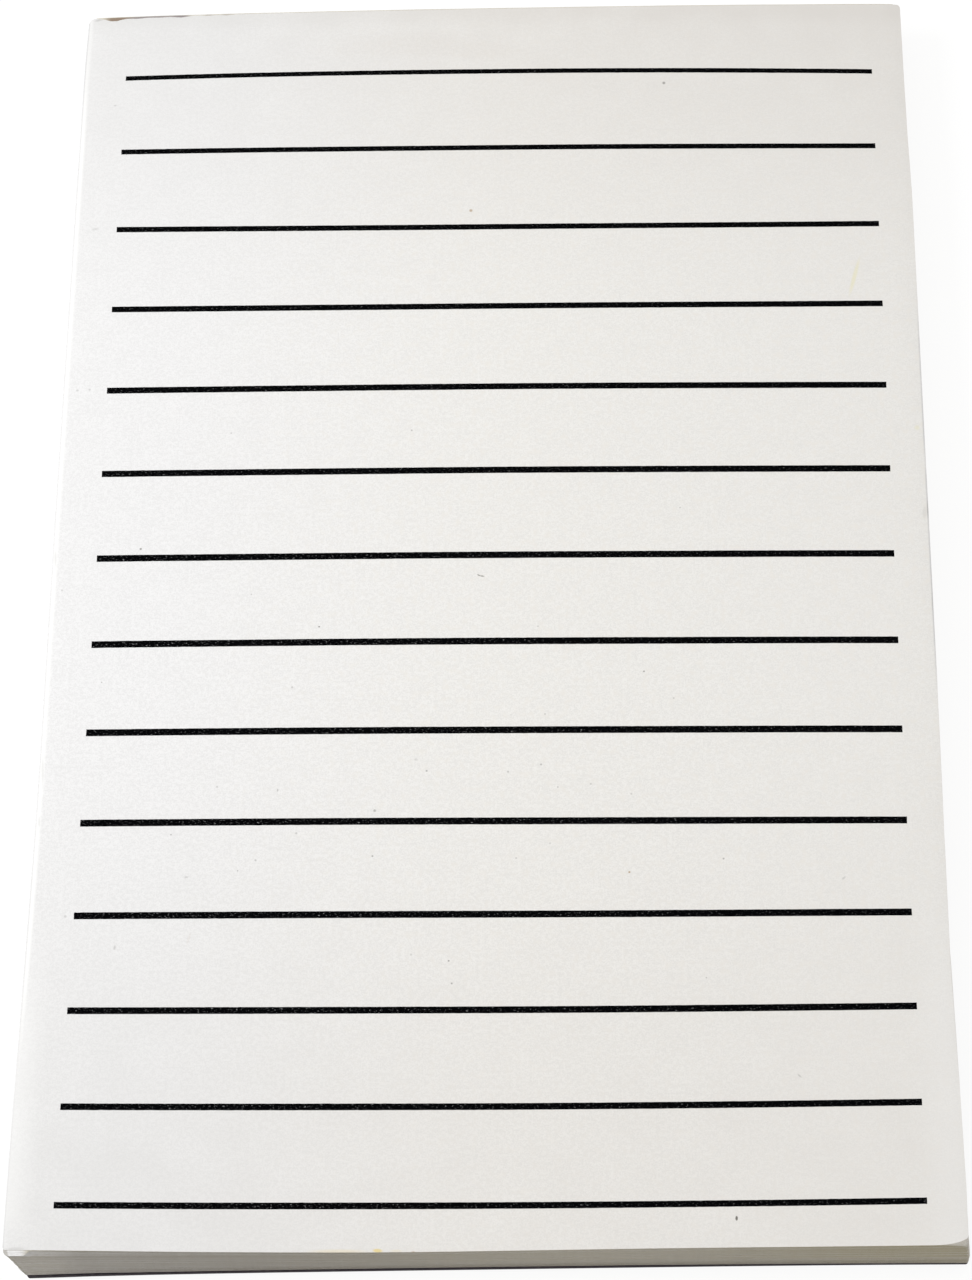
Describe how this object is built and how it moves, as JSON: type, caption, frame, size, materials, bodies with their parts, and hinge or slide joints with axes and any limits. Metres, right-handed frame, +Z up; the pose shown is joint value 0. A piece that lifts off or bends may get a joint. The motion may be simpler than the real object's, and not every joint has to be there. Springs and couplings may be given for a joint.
{
  "type": "writing pad",
  "caption": "Coverless writing pad of bold-ruled white sheets, gummed along one short edge on a stiff dark backing board, loose end slightly sprung up and knocked out of square.",
  "frame": {"origin": "middle of the backing board's underside, on the surface that the pad lies on", "axes": "+Y along the sheets towards the gummed edge, +X to the right for a writer, +Z up out of the written side"},
  "size_m": [0.1426, 0.2181, 0.0126],
  "materials": {
    "paper": "uncoated white bond, matt, page edges a little warmer and greyer",
    "line_ink": "matt black offset ink on paper",
    "board": "dark pulp board, matt",
    "gum": "thin brushed film of dried padding gum, satin"
  },
  "bodies": {
    "root": {"backing_board": "board", "page_block": "paper", "binding_gum": "gum", "ruled_lines": "line_ink"}
  },
  "joints": []
}
